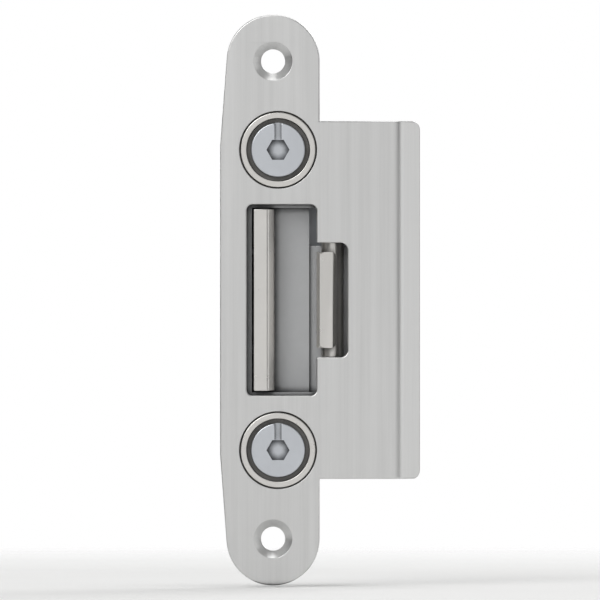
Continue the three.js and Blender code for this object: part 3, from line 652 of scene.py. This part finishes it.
def adjuster(name, bush_name):
    """The eccentric: a flat head with a key socket and an index slot, a journal, and an offset pin."""
    place = centre_of(bush_name)
    x, z = place.x, place.z
    head = turned(name + "_fine", filleted([
        (0, HEAD_FRONT, 0), (HEAD_RADIUS, HEAD_FRONT, 0.35), (HEAD_RADIUS, HEAD_BACK, 0.15),
        (JOURNAL_RADIUS, HEAD_BACK, 0.15), (JOURNAL_RADIUS, JOURNAL_BACK, 0.15), (0, JOURNAL_BACK, 0),
    ], steps=4, closed=False), centre=(x, 0, z), sides=96)
    socket = prism_y("socket", hexagon(x, z, HEXAGON_FLATS), HEAD_FRONT - 1.2, HEAD_FRONT + HEXAGON_DEPTH)
    top = z + HEAD_RADIUS + 1
    half = MARK_WIDTH / 2
    corners = ((x - half, z), (x + half, z), (x + half, top), (x - half, top))
    mark = prism_y("mark", [Vector(p) for p in corners], HEAD_FRONT - 1.2, HEAD_FRONT + MARK_DEPTH)
    boolean(head, "DIFFERENCE", socket, mark)
    soften(head, 0.12, angle=40)
    dress(head, "zinc_plated", BODIES[name], name)
    pin = turned(name + "_pin", filleted([
        (0, PIN_FRONT, 0), (PIN_RADIUS, PIN_FRONT, 0), (PIN_RADIUS, GROOVE_FRONT, 0.1),
        (GROOVE_RADIUS, GROOVE_FRONT, 0.1), (GROOVE_RADIUS, GROOVE_BACK, 0.1),
        (PIN_TIP_RADIUS, GROOVE_BACK, 0.1), (PIN_TIP_RADIUS, PIN_BACK, 0.25), (0, PIN_BACK, 0),
    ], steps=3, closed=False), centre=(x, 0, z + ECCENTRICITY), sides=64)
    dress(pin, "zinc_plated", BODIES[name])


def guide_nut(name):
    """A hexagon nut with chamfered corners on both ends."""
    low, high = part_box(name)
    place = centre_of(name)
    front, back = low.y / MM, high.y / MM
    nut = prism_y(name + "_fine", hexagon(place.x, place.z, NUT_FLATS), front, back)
    chamfered = [
        (0, front), (NUT_CHAMFER_RADIUS, front), (NUT_CORNER_RADIUS, front + NUT_CHAMFER),
        (NUT_CORNER_RADIUS, back - NUT_CHAMFER), (NUT_CHAMFER_RADIUS, back), (0, back),
    ]
    countersunk = [
        (0, front - 1), (NUT_SINK_RADIUS, front - NUT_CHAMFER), (NUT_BORE_RADIUS, front + NUT_CHAMFER),
        (NUT_BORE_RADIUS, back - NUT_CHAMFER), (NUT_SINK_RADIUS, back + NUT_CHAMFER), (0, back + 1),
    ]
    axis = (place.x, 0, place.z)
    boolean(nut, "INTERSECT", turned("limit", chamfered, centre=axis, sides=64))
    cut_again(nut, turned("bore", countersunk, centre=axis, sides=48))
    soften(nut, 0.1, angle=25)
    return dress(nut, "zinc_plated", BODIES[name], name)


def cut_again(piece, cutter):
    """A further cut in a piece whose modifiers are already baked."""
    piece.modifiers.new("even_normals", "WEIGHTED_NORMAL")
    return boolean(piece, "DIFFERENCE", cutter)


# ---------------------------------------------------------------- screws and springs

def slotted_screw(name, outward, head_radius, head_height, shank_radius):
    """A pan-head screw in place of a CAD node. Its head looks along outward, one of +y, -x and -z."""
    low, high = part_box(name)
    size = (high - low) / MM
    place = centre_of(name)
    index = "xyz".index(outward[1])
    length = size[index]
    profile = filleted([
        (0, 0, 0), (head_radius * 0.75, -0.06, 0.3), (head_radius, -head_height * 0.5, 0.25),
        (head_radius, -head_height, 0.12), (shank_radius, -head_height, 0.1),
        (shank_radius, -length + 0.4, 0.1), (shank_radius - 0.35, -length, 0.05), (0, -length, 0),
    ], steps=3, closed=False)
    screw = turned(name + "_fine", profile, axis="z", sides=56)
    deep = head_height * 0.55
    width = 0.3
    slot = prism_y("slot", [Vector(p) for p in ((-width, -deep), (width, -deep), (width, 1), (-width, 1))],
                   -head_radius - 1, head_radius + 1)
    boolean(screw, "DIFFERENCE", slot)
    soften(screw, 0.06, angle=40)
    turn = {"+y": Matrix.Rotation(-math.pi / 2, 4, "X"), "-x": Matrix.Rotation(-math.pi / 2, 4, "Y"),
            "-z": Matrix.Rotation(math.pi, 4, "X")}[outward]
    top = place.copy()
    top[index] = (high[index] if outward[0] == "+" else low[index]) / MM
    screw.data.transform(Matrix.Translation(top * MM) @ turn)
    return dress(screw, SLOTS[name], BODIES[name], name)


def coil_spring(name, axis, radius, wire, turns):
    """A helical spring in place of a CAD node, with flat closed ends."""
    low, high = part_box(name)
    place = centre_of(name)
    along = "xyz".index(axis)
    start, length = low[along] / MM + wire, (high[along] - low[along]) / MM - 2 * wire
    sides, steps = 10, turns * 28
    verts, faces = [], []
    for i in range(steps + 1):
        t = i / steps
        angle = 2 * math.pi * turns * t
        out = Vector((math.cos(angle), math.sin(angle)))
        for k in range(sides):
            a = 2 * math.pi * k / sides
            across = out * (radius + wire * math.cos(a))
            height = start + length * t + wire * math.sin(a)
            if axis == "z":
                verts.append((place.x + across.x, place.y + across.y, height))
            else:
                verts.append((place.x + across.x, height, place.z - across.y))
    for i in range(steps):
        for k in range(sides):
            j = (k + 1) % sides
            faces.append((i * sides + k, i * sides + j, (i + 1) * sides + j, (i + 1) * sides + k))
    faces.append(tuple(range(sides)))
    faces.append(tuple(steps * sides + k for k in range(sides)))
    spring = new_piece(name + "_fine", verts, faces, sharp_angle=SPRING_SHARP_ANGLE)
    return dress(spring, "spring_steel", BODIES[name], name)


# ---------------------------------------------------------------- assembly

keep_cad_nodes()
face_plate()
for side_name, side in (("top", 1), ("bottom", -1)):
    stud_place = centre_of(f"guide_nut_{side_name}")
    weld_stud(f"weld_stud_{side_name}", stud_place.x, stud_place.z)
    bush(f"adjuster_bush_{side_name}", "face_plate")
    adjuster(f"adjuster_{side_name}", f"adjuster_bush_{side_name}")
    guide_nut(f"guide_nut_{side_name}")
    slotted_screw(f"latch_guide_screw_{side_name}", "-x", *GUIDE_SCREW)
for number in range(1, 5):
    slotted_screw(f"cover_screw_{number}", "+y", *COVER_SCREW)
slotted_screw("coil_screw", "-z", *COIL_SCREW)
slotted_screw("terminal_block_screw", "-z", *TERMINAL_SCREW)
for number in (1, 2):
    slotted_screw(f"terminal_screw_{number}", "+y", *TERMINAL_SCREW)
coil_spring("keeper_spring", "z", 2.35, 0.45, 5)
coil_spring("armature_spring", "y", 1.65, 0.25, 3)


# ---------------------------------------------------------------- floor, light and camera

def pale_floor():
    """A pale round floor under the part that fades out at its rim."""
    radius = 0.55
    bpy.ops.mesh.primitive_circle_add(vertices=96, radius=radius, fill_type="NGON")
    floor = bpy.context.object
    floor.name = "floor"
    floor.location = (0.01, 0.01, cad_low.z - 0.0004)
    n = Nodes("floor")
    distance = n.add("ShaderNodeVectorMath", operation="LENGTH")
    n.link(n.place, distance.inputs[0])
    fade = n.span(distance.outputs["Value"], 1.0, 0.0, radius * 0.35, radius * 0.97)
    broad = n.noise((14, 14, 14))
    n.link(n.mix(broad, (0.80, 0.80, 0.79), (0.84, 0.84, 0.835)), n.surface.inputs["Base Color"])
    n.surface.inputs["Roughness"].default_value = 0.7
    n.link(fade, n.surface.inputs["Alpha"])
    floor.data.materials.append(n.material)


def studio_world():
    """White behind the part. Its reflections see a soft room: bright in front, behind and above, and dim at
    the sides and below, so that edges and steps stand out from flat faces."""
    world = bpy.data.worlds.new("studio")
    bpy.context.scene.world = world
    world.use_nodes = True
    tree = world.node_tree
    seen = tree.nodes["Background"]
    seen.inputs["Color"].default_value = (1, 1, 1, 1)
    room = tree.nodes.new("ShaderNodeBackground")
    place = tree.nodes.new("ShaderNodeTexCoord")
    split = tree.nodes.new("ShaderNodeSeparateXYZ")
    tree.links.new(place.outputs["Generated"], split.inputs["Vector"])

    def rise(axis, start, end, low, high):
        ramp = tree.nodes.new("ShaderNodeMapRange")
        ramp.interpolation_type = "SMOOTHSTEP"
        for socket, value in zip(("From Min", "From Max", "To Min", "To Max"), (start, end, low, high)):
            ramp.inputs[socket].default_value = value
        tree.links.new(split.outputs[axis], ramp.inputs["Value"])
        return ramp.outputs["Result"]

    def total(a, b):
        add = tree.nodes.new("ShaderNodeMath")
        add.operation = "ADD"
        tree.links.new(a, add.inputs[0])
        tree.links.new(b, add.inputs[1])
        return add.outputs["Value"]

    front = rise("Y", -0.78, -0.99, 0.14, 1.06)
    back = rise("Y", 0.45, 1.0, 0.0, 0.45)
    above = rise("Z", 0.2, 1.0, 0.0, 0.50)
    tree.links.new(total(total(front, back), above), room.inputs["Strength"])
    path = tree.nodes.new("ShaderNodeLightPath")
    choose = tree.nodes.new("ShaderNodeMixShader")
    tree.links.new(path.outputs["Is Camera Ray"], choose.inputs["Fac"])
    tree.links.new(room.outputs["Background"], choose.inputs[1])
    tree.links.new(seen.outputs["Background"], choose.inputs[2])
    tree.links.new(choose.outputs["Shader"], tree.nodes["World Output"].inputs["Surface"])


def softbox(name, place, size, power):
    light = bpy.data.lights.new(name, "AREA")
    light.shape = "SQUARE"
    light.size = size
    light.energy = power
    lamp = bpy.data.objects.new(name, light)
    lamp.location = place
    lamp.rotation_mode = "QUATERNION"
    lamp.rotation_quaternion = Vector(place).to_track_quat("Z", "Y")
    bpy.context.scene.collection.objects.link(lamp)


def front_camera():
    """A long lens square to the plate, framing 150 mm centred on the whole part's width."""
    lens, sensor, frame_width = 800.0, 36.0, 0.150
    data = bpy.data.cameras.new("camera")
    data.lens = lens
    data.sensor_width = sensor
    data.clip_start, data.clip_end = 0.1, 20
    camera = bpy.data.objects.new("camera", data)
    plate_low, plate_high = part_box("strike_plate")
    middle_x = 0.00675
    camera.location = (middle_x, plate_low.y - frame_width * lens / sensor, (plate_low.z + plate_high.z) / 2)
    camera.rotation_euler = (math.pi / 2, 0, 0)
    bpy.context.scene.collection.objects.link(camera)
    bpy.context.scene.camera = camera


pale_floor()
studio_world()
softbox("key", (-0.45, -0.80, 0.55), 0.60, 4.5)
softbox("fill", (1.05, -0.37, 0.15), 0.95, 2.7)
softbox("top", (0.05, 0.05, 1.10), 0.60, 3.2)
softbox("rear_key", (0.60, 0.85, 0.60), 0.55, 4.5)
softbox("rear_fill", (-0.95, 0.60, 0.25), 0.50, 2.4)
front_camera()
bpy.context.scene.view_settings.view_transform = "Standard"
